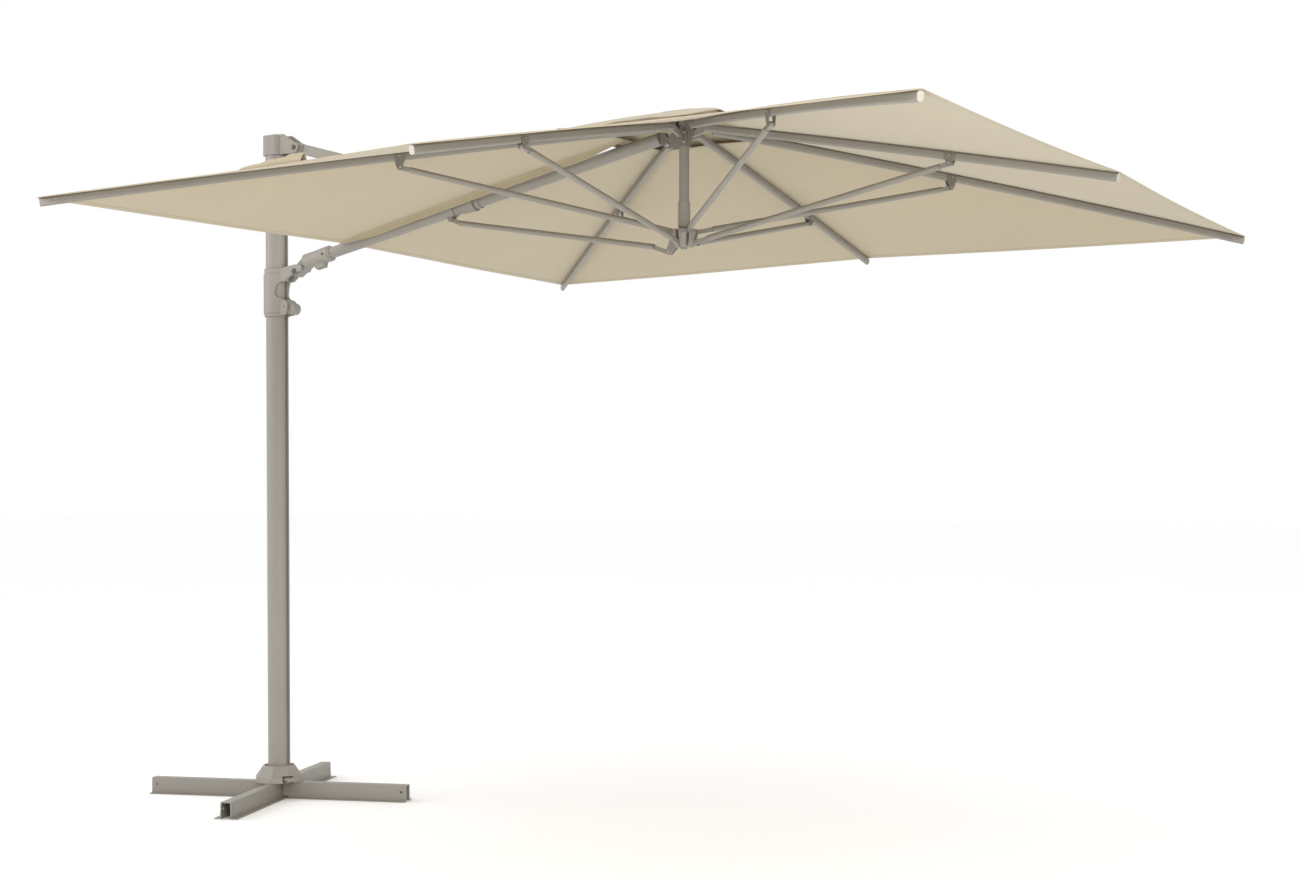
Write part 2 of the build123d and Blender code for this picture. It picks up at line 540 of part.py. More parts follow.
def build_runner():
    profile = Plane.XZ * make_face(Polyline(
        (0, RUNNER_TOP), (48, RUNNER_TOP), (50, RUNNER_TOP - 14), (43, RUNNER_TOP - 42),
        (36, RUNNER_TOP - 57), (11, RUNNER_TOP - 60), (11, RUNNER_TOP - 66), (0, RUNNER_TOP - 66),
        close=True))
    runner = revolve(profile, Axis.Z)
    runner += Pos(0, 0, RUNNER_TOP - 5) * extrude_circle(POLE_BORE - 0.5, 32)
    slot_floor = RUNNER_TOP - 80
    pins = []
    for name, angle in RIB_ANGLES.items():
        radius, height = pivot_of(name)
        low = height - 2 * LINK_RISE
        runner -= radial_slot(angle, radius - 12, 90, slot_floor, RUNNER_TOP + 1, TONGUE_T + 1.4)
        pins.append(at_pole(cross_pin(angle, radius, low, 8.5, PIN_R)))
    runner -= radial_slot(180, 30, 90, slot_floor, RUNNER_TOP + 1, TONGUE_T + 1.4)
    radius, height = ARM_PIVOT
    low = height - 2 * LINK_RISE
    for y in (-7.4, 7.4):
        ear = slab_xz([(-24, RUNNER_TOP - 20), (-47, RUNNER_TOP - 16), (-radius - 8, low + 4),
                       (-radius - 8, low - 7), (-radius + 8, low - 8), (-24, RUNNER_TOP - 54)], y, 5)
        runner += ear
    runner = runner.solids().sort_by(SortBy.VOLUME)[-1]
    for name, angle in RIB_ANGLES.items():
        rib_radius, rib_pivot_z = pivot_of(name)
        runner -= cross_pin(angle, rib_radius, rib_pivot_z - 2 * LINK_RISE, 8.5, PIN_R)
    runner -= rod((-radius, -9.9, low), (-radius, 9.9, low), PIN_R)
    pins.append(at_pole(rod((-radius, -9.9, low), (-radius, 9.9, low), PIN_R)))
    save("runner", at_pole(runner))
    save("runner_pins", *pins)


# ---------------------------------------------------------------------------
# Ribs, brackets and struts, drawn along +X from the pole's axis
# ---------------------------------------------------------------------------

def rib_line(name):
    """Start, middle and end of a rib's centre line as (radius, height)."""
    if name in CORNERS:
        tip_radius, drop, bow, start_radius = CANOPY_HALF * math.sqrt(2), CORNER_DROP, CORNER_BOW, 102.0
    else:
        tip_radius, drop, bow, start_radius = CANOPY_HALF, EDGE_DROP, EDGE_BOW, 84.0
    start = (start_radius, -drop * start_radius / tip_radius)
    end = (tip_radius, -drop)
    middle = ((start[0] + end[0]) / 2, (start[1] + end[1]) / 2 + bow)
    return start, middle, end


def rib_height(name, radius):
    """Height of the rib's centre line at a radius, on its shallow arc."""
    start, middle, end = rib_line(name)
    t = (radius - start[0]) / (end[0] - start[0])
    bow = middle[1] - (start[1] + end[1]) / 2
    return start[1] + t * (end[1] - start[1]) + 4 * bow * t * (1 - t)


def bent_bar(arc, profile, skip=0.0, beyond=0.0):
    """Profile turned along a shallow arc, from skip after its start to beyond its end."""
    start_plane = Plane(origin=arc @ (skip / arc.length), z_dir=arc % (skip / arc.length), x_dir=(0, 1, 0))
    bend_angle = math.degrees((arc.length - skip + beyond) / arc.radius)
    return revolve(start_plane * profile, axis=Axis(arc.arc_center, (0, 1, 0)), revolution_arc=bend_angle)


def build_ribs():
    for name, angle in RIB_ANGLES.items():
        turn = Rot(0, 0, angle)
        start, middle, end = rib_line(name)
        pivot_r, pivot_z = pivot_of(name)
        arc = ThreePointArc((start[0], 0, start[1]), (middle[0], 0, middle[1]), (end[0], 0, end[1]))
        rib = bent_bar(arc, SlotOverall(RIB_H, RIB_W, rotation=90))
        bore = SlotOverall(RIB_H - 2 * RIB_WALL, RIB_W - 2 * RIB_WALL, rotation=90)
        rib -= bent_bar(arc, bore, RIB_PLUG, 1)
        root, top = start[0] + 12, start[1] + 8
        if name in CORNERS:
            end_plate = slab_xz([(pivot_r, pivot_z - 9), (root, start[1] - 10.5), (root, top),
                                 (pivot_r, pivot_z + 7)], 0, 11.6)
        else:
            end_plate = slab_xz([(pivot_r + 4, pivot_z - 8), (root, start[1] - 10.5), (root, top),
                                 (start[0] - 14, top), (pivot_r - 4, pivot_z + 7)], 0, 11.6)
        end_plate += rod((pivot_r, -5.8, pivot_z), (pivot_r, 5.8, pivot_z), 8)
        rib += end_plate
        rib -= rod((pivot_r, -9, pivot_z), (pivot_r, 9, pivot_z), PIN_HOLE_R)
        _, (bolt_r, bolt_z) = bracket_places(name)
        rib -= rod((bolt_r, -RIB_W, bolt_z), (bolt_r, RIB_W, bolt_z), BRACKET_BOLT_R + 0.1)
        bracket, pin = build_bracket(name)
        save(f"rib_{name}", *(at_pole(turn * piece) for piece in (rib, bracket, pin)))


def bracket_places(name):
    """Strut pin and rib bolt of a bracket, as (radius, height) pairs."""
    pivot_r, pivot_z = pivot_of(name)
    pin = (pivot_r + LINK_REACH, pivot_z - LINK_RISE)
    bolt = (pin[0] + 2, rib_height(name, pin[0] + 2) + 1)
    return pin, bolt


def build_bracket(name):
    """Two cheeks on a bolt through the rib, with the strut's pin below it."""
    (pin_r, pin_z), (bolt_r, bolt_z) = bracket_places(name)
    inside = RIB_W / 2 + 0.2
    bracket = rod((bolt_r, -inside - 5, bolt_z), (bolt_r, inside + 5, bolt_z), BRACKET_BOLT_R)
    for side in (-1, 1):
        y = side * (inside + 1.25)
        cheek = slab_xz([(bolt_r - 21, bolt_z + 8), (bolt_r + 17, bolt_z + 1), (bolt_r + 16, bolt_z - 9),
                         (pin_r + 8, pin_z), (pin_r - 8, pin_z), (bolt_r - 20, bolt_z - 6)], y, 2.5)
        cheek += rod((pin_r, y - 1.25, pin_z), (pin_r, y + 1.25, pin_z), 8)
        cheek -= rod((pin_r, y - 2, pin_z), (pin_r, y + 2, pin_z), PIN_R)
        bracket += cheek
    pin = rod((pin_r, -inside - 4.5, pin_z), (pin_r, inside + 4.5, pin_z), PIN_R)
    return bracket, pin


def strut_between(outer, inner, outer_shift=0.0, inner_shift=0.0):
    """Round strut with flat ends, from its outer pivot to its runner pivot."""
    o, i = Vector(outer[0], 0, outer[1]), Vector(inner[0], 0, inner[1])
    a = Vector(outer[0], 0, outer[1] + outer_shift)
    b = Vector(inner[0], 0, inner[1] + inner_shift)
    along = (b - a).normalized()
    tube_ends = (tuple(a + along * 34), tuple(b - along * 62))
    body = rod(*tube_ends, STRUT_D / 2) - rod(*tube_ends, STRUT_D / 2 - STRUT_WALL)
    ends = ((o, a, 1, 14.0), (i, b, -1, TONGUE_T))
    for pivot, line_end, way, thickness in ends:
        inboard = line_end + along * (way * (44 if way > 0 else 74))
        normal = Vector(-along.Z, 0, along.X)
        reach = 8.0
        corners = [pivot + normal * reach, pivot - normal * reach,
                   inboard - normal * (reach - 1), inboard + normal * (reach - 1)]
        tongue = slab_xz([(c.X, c.Z) for c in corners], 0, thickness)
        tongue += rod((pivot.X, -thickness / 2, pivot.Z), (pivot.X, thickness / 2, pivot.Z), reach)
        body += tongue
    for pivot in (o, i):
        body -= rod((pivot.X, -20, pivot.Z), (pivot.X, 20, pivot.Z), PIN_HOLE_R)
    return body


def build_strut(name, angle, pivot, *shifts):
    pivot_r, pivot_z = pivot
    outer = (pivot_r + LINK_REACH, pivot_z - LINK_RISE)
    inner = (pivot_r, pivot_z - 2 * LINK_RISE)
    save(f"strut_{name}", at_pole(Rot(0, 0, angle) * strut_between(outer, inner, *shifts)))


def build_struts():
    for name, angle in RIB_ANGLES.items():
        build_strut(name, angle, pivot_of(name))
    # the arm's strut runs a little off its pivots' line, to clear the arm's bracket and the runner
    build_strut("arm", 180, ARM_PIVOT, -9.0, 13.0)


# ---------------------------------------------------------------------------
# Fabric: one plain panel for each rib and for the arm, and the vent cap
# ---------------------------------------------------------------------------

def prism_panel(top_loops):
    """Closed thin solid below a strip of flat top faces."""
    faces = []
    down = Vector(0, 0, -FABRIC_T)
    edges = {}
    for loop in top_loops:
        points = [Vector(*p) for p in loop]
        faces.append(Face(Wire.make_polygon(points, close=True)))
        faces.append(Face(Wire.make_polygon([p + down for p in points], close=True)))
        for a, b in zip(points, points[1:] + points[:1]):
            key = tuple(sorted([tuple(round(c, 4) for c in a), tuple(round(c, 4) for c in b)]))
            edges.setdefault(key, []).append((a, b))
    for sides in edges.values():
        if len(sides) == 1:
            a, b = sides[0]
            faces.append(Face(Wire.make_polygon([a, b, b + down, a + down], close=True)))
    return Solid(Shell(faces))


def fabric_point(angle, share):
    """Point on the canopy's top face at a share of the way from the apex to the hem."""
    a = math.radians(angle)
    scale = FABRIC_HALF / max(abs(math.cos(a)), abs(math.sin(a)))
    x, y = scale * math.cos(a), scale * math.sin(a)
    off_corner = 1 - min(abs(x), abs(y)) / FABRIC_HALF
    drop = CORNER_DROP + off_corner * (EDGE_DROP - CORNER_DROP)
    bow = CORNER_BOW + off_corner * (EDGE_BOW - CORNER_BOW)
    lift = FABRIC_LIFT + FABRIC_T / 2 + 4 * bow * share * (1 - share)
    return x * share, y * share, lift - drop * share


def build_fabric():
    shares = (0.08, 0.3, 0.6, 1.0)
    border = math.degrees(math.atan(0.5))
    seam_gap = 0.05
    for name, angle in RIB_ANGLES.items():
        half = (45 - border if name in CORNERS else border) - seam_gap
        loops = []
        for near, far in zip(shares, shares[1:]):
            for side in (-half, half):
                centre_near, centre_far = fabric_point(angle, near), fabric_point(angle, far)
                side_near, side_far = fabric_point(angle + side, near), fabric_point(angle + side, far)
                loops.append((centre_near, side_near, side_far))
                loops.append((centre_near, side_far, centre_far))
        save(f"canopy_panel_{name}", at_pole(prism_panel(loops)))

    halves = []
    for side in (-1, 1):
        loops = []
        for near, far in zip((0.13, 0.3, 0.6), (0.3, 0.6, 1.0)):
            corners = []
            for share in (near, far):
                x, y, z = fabric_point(180 + side * (border - seam_gap), share)
                slit_y = math.copysign(SLIT_HALF, y)
                corners.append(((x, slit_y, z), (x, y, z)))
            (slit_near, side_near), (slit_far, side_far) = corners
            loops.append((slit_near, side_near, side_far))
            loops.append((slit_near, side_far, slit_far))
        halves.append(at_pole(prism_panel(loops)))
    save("canopy_panel_arm", *halves)

    cap = []
    low = VENT_LIFT - CORNER_DROP * VENT_HALF / CANOPY_HALF
    for sx, sy in ((1, 1), (-1, 1), (-1, -1), (1, -1)):
        tx, ty = -sy, sx
        cap.append(((0, 0, VENT_TOP), (sx * VENT_HALF, sy * VENT_HALF, low),
                    (tx * VENT_HALF, ty * VENT_HALF, low)))
    save("vent_cap", at_pole(prism_panel(cap)))


build_base()
build_pedal()
build_mast()
build_link()
build_arm_frame()
build_arm()
build_slider()
build_pole()
build_runner()
build_ribs()
build_struts()
build_fabric()
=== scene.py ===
import math
import bmesh
import bpy
import numpy as np
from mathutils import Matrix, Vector, noise


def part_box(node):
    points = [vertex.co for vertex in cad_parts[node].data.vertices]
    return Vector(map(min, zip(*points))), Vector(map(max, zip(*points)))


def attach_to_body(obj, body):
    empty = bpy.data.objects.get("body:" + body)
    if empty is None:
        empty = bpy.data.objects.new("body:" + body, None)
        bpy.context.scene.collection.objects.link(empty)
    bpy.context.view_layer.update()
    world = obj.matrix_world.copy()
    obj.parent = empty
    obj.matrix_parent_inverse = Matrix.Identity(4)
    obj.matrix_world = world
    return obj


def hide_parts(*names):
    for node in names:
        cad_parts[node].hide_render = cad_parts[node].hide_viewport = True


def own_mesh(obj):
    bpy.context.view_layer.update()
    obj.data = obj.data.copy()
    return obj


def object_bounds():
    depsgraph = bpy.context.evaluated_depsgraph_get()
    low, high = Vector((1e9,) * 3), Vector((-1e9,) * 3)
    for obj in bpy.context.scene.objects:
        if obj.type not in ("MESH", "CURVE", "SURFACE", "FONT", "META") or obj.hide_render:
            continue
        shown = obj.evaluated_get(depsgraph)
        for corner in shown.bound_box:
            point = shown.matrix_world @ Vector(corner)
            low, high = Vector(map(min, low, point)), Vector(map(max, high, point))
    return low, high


# A square cantilever parasol: sewn cover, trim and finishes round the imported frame. Metres, degrees.

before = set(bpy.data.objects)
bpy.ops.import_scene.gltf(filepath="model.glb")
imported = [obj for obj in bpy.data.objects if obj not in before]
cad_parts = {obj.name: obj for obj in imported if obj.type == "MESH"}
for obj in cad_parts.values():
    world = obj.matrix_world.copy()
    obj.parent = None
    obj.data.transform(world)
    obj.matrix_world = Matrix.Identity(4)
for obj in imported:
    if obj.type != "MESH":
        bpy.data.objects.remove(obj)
cad_low, cad_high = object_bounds()

# ---------------------------------------------------------------- sizes

CANOPY_HALF = 1.5            # rib tips from the pole's axis
HEM_HALF = 1.507
CORNER_DROP, EDGE_DROP = 0.332, 0.311
CORNER_BOW, EDGE_BOW = 0.009, 0.005
CORNER_START, EDGE_START = 0.102, 0.084
RIB_H, RIB_W = 0.028, 0.018
BRACKET_FACE = 0.0118        # outer face of a strut bracket's cheek, from the rib's middle
CLOTH_LIFT = 0.017           # cloth's upper face above the ribs' centre lines
CLOTH_T = 0.0012
CLOTH_SAG = 0.008
SCALLOP = 0.007              # how far the hem bows inwards between two tips
HOLE_SHARE = 0.15            # vent hole, as a share of the canopy's half width
SLIT_HALF = 0.033
SLIT_FLANGE = 0.041          # drives how far the slit's edges hang down beside the arm
SLIT_ROLL = 0.0045           # radius at which they turn down
HEM_WIDTH = 0.024
HEM_T = 0.0026
HEM_LIFT = (HEM_T - CLOTH_T) / 2   # centres a folded hem on the cloth
SEAM_WIDTH = 0.016
EDGE_LIP = 0.0006            # how far a folded hem reaches past the cloth's edge
RIPPLE = 0.0011
VENT_HALF, VENT_TOP, VENT_LIFT = 0.314, 0.053, 0.040
VENT_SLACK, VENT_FLUTTER = 0.006, 0.008
VENT_CENTRE = 0.078          # radius of the doubled patch in its middle
STRAP_START, STRAP_END, STRAP_Y = -0.663, -0.417, -1.474
STRAP_RISE = 0.021
CORNER_KEEP, EDGE_KEEP, ARM_KEEP = 0.24, 0.2, 0.2

pole_low, pole_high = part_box("canopy_pole")
POLE_X = (pole_low.x + pole_high.x) / 2
HUB_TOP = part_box("top_hub")[1].z
APEX = Vector((POLE_X, 0, 2.470))

CORNERS = {"outer_left": 45, "inner_left": 135, "inner_right": 225, "outer_right": 315}
EDGES = {"outer": 0, "left": 90, "right": 270}
RIBS = {**CORNERS, **EDGES}

# ---------------------------------------------------------------- node materials


def srgb(r, g, b):
    """A colour given as 0 to 255 values on screen, as the shader's linear colour."""
    linear = [(c / 255 / 12.92) if c < 10 else ((c / 255 + 0.055) / 1.055) ** 2.4 for c in (r, g, b)]
    return (*linear, 1.0)


def shade(colour, factor):
    return (*(min(1.0, c * factor) for c in colour[:3]), 1.0)


class Finish:
    """One node material, with short calls for the nodes that all of them use."""

    def __init__(self, name, rough, metal=0.0):
        self.material = bpy.data.materials.new(name)
        self.material.use_nodes = True
        self.tree = self.material.node_tree
        self.shader = self.tree.nodes["Principled BSDF"]
        self.shader.inputs["Roughness"].default_value = rough
        self.shader.inputs["Metallic"].default_value = metal
        self.coordinates = self.node("ShaderNodeTexCoord")
        self.height = None

    def node(self, kind, **inputs):
        made = self.tree.nodes.new(kind)
        for key, value in inputs.items():
            made.inputs[key.replace("_", " ")].default_value = value
        return made

    def link(self, out, into):
        self.tree.links.new(out, into)

    def noise(self, scale, detail=2.0, stretch=(1, 1, 1)):
        mapping = self.node("ShaderNodeMapping")
        mapping.inputs["Scale"].default_value = stretch
        self.link(self.coordinates.outputs["Object"], mapping.inputs["Vector"])
        texture = self.node("ShaderNodeTexNoise", Scale=scale, Detail=detail)
        self.link(mapping.outputs["Vector"], texture.inputs["Vector"])
        return texture.outputs["Fac"]

    def ramp(self, factor, low, high, start=0.3, end=0.7):
        ramp = self.node("ShaderNodeValToRGB")
        ramp.color_ramp.elements[0].position = start
        ramp.color_ramp.elements[1].position = end
        ramp.color_ramp.elements[0].color = low
        ramp.color_ramp.elements[1].color = high
        self.link(factor, ramp.inputs["Fac"])
        return ramp.outputs["Color"]

    def mix(self, factor, a, b):
        mix = self.tree.nodes.new("ShaderNodeMix")
        mix.data_type = "RGBA"
        for value, socket in ((factor, mix.inputs["Factor"]), (a, mix.inputs[6]), (b, mix.inputs[7])):
            if isinstance(value, bpy.types.NodeSocket):
                self.link(value, socket)
            else:
                socket.default_value = value
        return mix.outputs[2]

    def math(self, operation, a, b=0.0, c=0.0):
        made = self.tree.nodes.new("ShaderNodeMath")
        made.operation = operation
        for value, socket in zip((a, b, c), made.inputs):
            if isinstance(value, bpy.types.NodeSocket):
                self.link(value, socket)
            else:
                socket.default_value = value
        return made.outputs[0]

    def bump(self, height, strength, distance):
        bump = self.node("ShaderNodeBump", Strength=strength, Distance=distance)
        self.link(height, bump.inputs["Height"])
        if self.height is not None:
            self.link(self.height, bump.inputs["Normal"])
        self.height = bump.outputs["Normal"]
        self.link(self.height, self.shader.inputs["Normal"])

    def rounded_edges(self, radius):
        """Softens hard edges in the shading, and returns how near an edge is, from 0 to 1."""
        bevel = self.node("ShaderNodeBevel", Radius=radius)
        bevel.samples = 4
        geometry = self.node("ShaderNodeNewGeometry")
        dot = self.tree.nodes.new("ShaderNodeVectorMath")
        dot.operation = "DOT_PRODUCT"
        self.link(bevel.outputs["Normal"], dot.inputs[0])
        self.link(geometry.outputs["Normal"], dot.inputs[1])
        self.height = bevel.outputs["Normal"]
        self.link(self.height, self.shader.inputs["Normal"])
        return self.math("MULTIPLY", self.math("SUBTRACT", 1.0, dot.outputs["Value"]), 4.0)

    def colour(self, socket):
        self.link(socket, self.shader.inputs["Base Color"])

    def rough_from(self, factor, low, high):
        self.link(self.math("MULTIPLY_ADD", factor, high - low, low), self.shader.inputs["Roughness"])


def painted(name, colour, edge_radius=0.0008, peel=0.25):
    """Satin powder coat: orange peel, faint clouding, and edges a little lighter, partly from rubbed wear and
    partly as a painted highlight.
    """
    coat = Finish(name, 0.42)
    edge = coat.rounded_edges(edge_radius)
    cloud = coat.ramp(coat.noise(3.5, 4), shade(colour, 0.955), shade(colour, 1.04))
    grain = coat.mix(coat.ramp(coat.noise(1400, 1), (0, 0, 0, 1), (0.3, 0.3, 0.3, 1), 0.35, 0.75),
                     cloud, shade(colour, 1.14))
    # Edges mixed lighter: a painted edge highlight, partly rubbed wear.
    coat.colour(coat.mix(edge, grain, shade(colour, 1.18)))
    coat.rough_from(coat.noise(38, 3), 0.36, 0.52)
    coat.bump(coat.noise(760, 2), peel, 0.0002)
    return coat.material


def moulded(name, colour, grain_strength=0.3, rough=(0.42, 0.6)):
    """Grained nylon or die casting, with a fine spark texture and softened edges."""
    nylon = Finish(name, sum(rough) / 2)
    edge = nylon.rounded_edges(0.0016)
    cloud = nylon.ramp(nylon.noise(11, 3), shade(colour, 0.94), shade(colour, 1.05))
    # Edges mixed lighter: a painted edge highlight, partly rubbed wear.
    nylon.colour(nylon.mix(edge, cloud, shade(colour, 1.16)))
    nylon.rough_from(nylon.noise(60, 3), *rough)
    nylon.bump(nylon.noise(1700, 2), grain_strength, 0.00025)
    return nylon.material


def steel(name, colour, rough=(0.22, 0.42)):
    bright = Finish(name, 0.3, 1.0)
    bright.rounded_edges(0.0005)
    bright.colour(bright.ramp(bright.noise(220, 3), shade(colour, 0.82), shade(colour, 1.08)))
    bright.rough_from(bright.noise(420, 2, (1, 6, 1)), *rough)
    bright.bump(bright.noise(900, 2, (1, 9, 1)), 0.12, 0.0001)
    return bright.material


def weave(cloth, colour):
    """Plain-woven polyester: crossed threads, slubs along each, and a broad unevenness of the dye."""
    warp = cloth.noise(95, 3, (1, 14, 14))
    weft = cloth.noise(95, 3, (14, 1, 14))
    threads = cloth.math("ADD", cloth.math("MULTIPLY", warp, 0.5), cloth.math("MULTIPLY", weft, 0.5))
    broad = cloth.ramp(cloth.noise(1.7, 3), shade(colour, 0.96), shade(colour, 1.035))
    thread_colour = cloth.mix(cloth.ramp(threads, (0, 0, 0, 1), (1, 1, 1, 1), 0.38, 0.62),
                              shade(colour, 0.9), shade(colour, 1.07))
    cloth.bump(threads, 0.35, 0.0004)
    return cloth.mix(0.5, broad, thread_colour)


def woven(name, colour):
    cloth = Finish(name, 0.86)
    cloth.shader.inputs["Sheen Weight"].default_value = 0.18
    cloth.shader.inputs["Sheen Roughness"].default_value = 0.5
    cloth.colour(weave(cloth, colour))
    return cloth.material


def stitched(name, colour, rows, pitch=0.0052):
    """Woven cloth with rows of stitches at the given distances across the strip (UVs are in metres)."""
    cloth = Finish(name, 0.86)
    cloth.shader.inputs["Sheen Weight"].default_value = 0.18
    base = weave(cloth, colour)
    split = cloth.node("ShaderNodeSeparateXYZ")
    cloth.link(cloth.coordinates.outputs["UV"], split.inputs[0])
    dash = cloth.math("LESS_THAN", cloth.math("FRACT", cloth.math("DIVIDE", split.outputs["X"], pitch)), 0.68)
    line = None
    for row in rows:
        off = cloth.math("ABSOLUTE", cloth.math("SUBTRACT", split.outputs["Y"], row))
        near = cloth.math("LESS_THAN", off, 0.0006)
        line = near if line is None else cloth.math("MAXIMUM", line, near)
    thread = cloth.math("MULTIPLY", dash, line)
    cloth.colour(cloth.mix(thread, base, shade(colour, 0.72)))
    cloth.bump(cloth.math("SUBTRACT", 1.0, line), 0.5, 0.0005)
    return cloth.material


GREIGE = srgb(138, 133, 124)
SAND = srgb(177, 164, 136)

POWDER = painted("greige_powder_coat", GREIGE)
BASE_POWDER = painted("greige_base_coat", shade(GREIGE, 0.97), 0.0012, 0.35)
TRACK = painted("track_strip", shade(GREIGE, 0.62), 0.0006)
NYLON = moulded("greige_nylon", shade(GREIGE, 1.03))
CASTING = moulded("greige_casting", shade(GREIGE, 0.72), 0.22, (0.36, 0.5))
PALE_PLASTIC = moulded("pale_cap_plastic", srgb(186, 181, 170), 0.15, (0.35, 0.5))
# Near-black nylon for the pedal bracket: painted shade standing in for the dark recesses round the pedal.
PEDAL_RECESS_SHADE = moulded("pedal_recess_shade_black", srgb(40, 39, 38), 0.3, (0.45, 0.65))
ACETAL = moulded("natural_acetal", srgb(226, 222, 210), 0.1, (0.3, 0.45))
ZINC = steel("zinc_steel", (0.66, 0.65, 0.63, 1))
# Near-black steel on the bolt heads: painted shade standing in for the recesses they sit in.
RECESS_SHADE_STEEL = steel("recess_shade_steel", (0.10, 0.098, 0.095, 1))
CLOTH = woven("sand_polyester", SAND)
HEM_CLOTH = stitched("sand_hem", shade(SAND, 0.97), (0.004, 0.0195))
SEAM_CLOTH = stitched("sand_seam", shade(SAND, 0.96), (0.003, 0.013))
TAB_CLOTH = stitched("sand_tab", shade(SAND, 0.93), (0.004, 0.021))

FRAME_FINISH = {
    "base_rail_long": BASE_POWDER, "base_rail_left": BASE_POWDER, "base_rail_right": BASE_POWDER,
    "base_spigot": BASE_POWDER, "base_bolts": ZINC, "swivel_bearings": ACETAL, "base_cover": NYLON,
    # pedal_bracket is painted shade: near-black for the recesses round the pedal.
    "pedal_bracket": PEDAL_RECESS_SHADE, "rotation_pedal": NYLON, "mast_track": TRACK, "mast_foot": NYLON,
    # The bolt entries below get painted shade: near-black steel for their recesses.
    "mast_head": NYLON, "head_pivot_bolt": RECESS_SHADE_STEEL, "link_head_eye": NYLON, "link_ring_eye": NYLON,
    "arm_casing": NYLON, "arm_ring": NYLON, "arm_frame_bolts": RECESS_SHADE_STEEL, "tilt_trigger": NYLON,
    "slider_housing": NYLON, "slider_back_plate": NYLON, "slider_bolts": RECESS_SHADE_STEEL,
    "slider_release_lever": NYLON, "arm_collars": NYLON, "arm_end_fitting": CASTING,
    "arm_strut_bracket": NYLON, "pole_sleeve": NYLON, "top_hub": CASTING, "arm_clevis": CASTING,
    "hub_bolts": ZINC, "runner": NYLON, "runner_pins": ZINC,
}


def finish_frame():
    for name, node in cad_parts.items():
        node.data.materials.clear()
        node.data.materials.append(FRAME_FINISH.get(name, POWDER))
        if name.startswith("rib_"):
            finish_bracket(node, RIBS[name.removeprefix("rib_")])


def finish_bracket(node, angle):
    """Three finishes on a rib: its tube, the bracket's cheeks on its flanks, and the bolt heads."""
    node.data.materials.append(CASTING)
    node.data.materials.append(ZINC)
    a = math.radians(angle)
    side = Vector((-math.sin(a), math.cos(a), 0))
    for face in node.data.polygons:
        off = abs((node.matrix_world @ face.center - APEX).dot(side))
        if off > BRACKET_FACE:
            face.material_index = 2
        elif off > RIB_W / 2 + 0.00015:
            face.material_index = 1


# ---------------------------------------------------------------- the cover's surface


def rib_height(corner, radius):
    """Height of a rib's centre line below the apex, at a radius from the pole."""
    if corner:
        drop, bow, start = CORNER_DROP, CORNER_BOW, CORNER_START
    else:
        drop, bow, start = EDGE_DROP, EDGE_BOW, EDGE_START
    tip = CANOPY_HALF * math.sqrt(2) if corner else CANOPY_HALF
    start_z = -drop * start / tip
    t = (radius - start) / (tip - start)
    return start_z + t * (-drop - start_z) + 4 * bow * t * (1 - t)


def cloth_height(x, y):
    """Height of the cover's upper face at a place measured from the apex."""
    outward, aside = max(abs(x), abs(y)), min(abs(x), abs(y))
    along = aside / max(outward, 1e-9)
    on_edge_rib = rib_height(False, outward)
    on_corner_rib = rib_height(True, outward * math.sqrt(2))
    share = outward / CANOPY_HALF
    sag = CLOTH_SAG * math.sin(math.pi * along) * math.sin(min(1.0, share) * 2.4)
    ripple = RIPPLE * noise.noise(Vector((x * 2.3, y * 2.3, 4.0))) * math.sin(math.pi * along)
    return CLOTH_LIFT + on_edge_rib * (1 - along) + on_corner_rib * along - sag + ripple


def turned(x, y, degrees):
    a = math.radians(degrees)
    return x * math.cos(a) - y * math.sin(a), x * math.sin(a) + y * math.cos(a)


def ring_place(side, across, share):
    """A place on a square ring: side is its outward direction, and across runs from -1 to 1."""
    outward = share * CANOPY_HALF - SCALLOP * share ** 3 * 4 * abs(across) * (1 - abs(across))
    return turned(outward, across * share * CANOPY_HALF, side)


def gore_place(angle, across, share):
    """A place in a rib's gore: across is 0 on the rib and 1 or -1 midway to the next rib."""
    if angle % 90 == 0:
        return ring_place(angle, across / 2, share)
    if across >= 0:
        return ring_place(angle + 45, -(1 - across / 2), share)
    return ring_place(angle - 45, 1 + across / 2, share)


def on_cloth(x, y, lift=0.0):
    return (APEX.x + x, APEX.y + y, APEX.z + cloth_height(x, y) + lift)


# ---------------------------------------------------------------- meshes


def grid_normals(grid):
    """Unit normals of a grid of points, pointing up."""
    n = np.cross(np.gradient(grid, axis=0), np.gradient(grid, axis=1))
    n /= np.linalg.norm(n, axis=2, keepdims=True) + 1e-12
    return n if n[..., 2].mean() > 0 else -n


def made_object(name, points, faces, material, uv=None):
    mesh = bpy.data.meshes.new(name)
    mesh.from_pydata([tuple(p) for p in points], [], faces)
    mesh.validate()
    mesh.update()
    mesh.polygons.foreach_set("use_smooth", [True] * len(mesh.polygons))
    if uv is not None:
        layer = mesh.uv_layers.new(name="UVMap")
        for loop in mesh.loops:
            layer.data[loop.index].uv = uv[loop.vertex_index]
    made = bpy.data.objects.new(name, mesh)
    bpy.context.scene.collection.objects.link(made)
    mesh.materials.append(material)
    return made


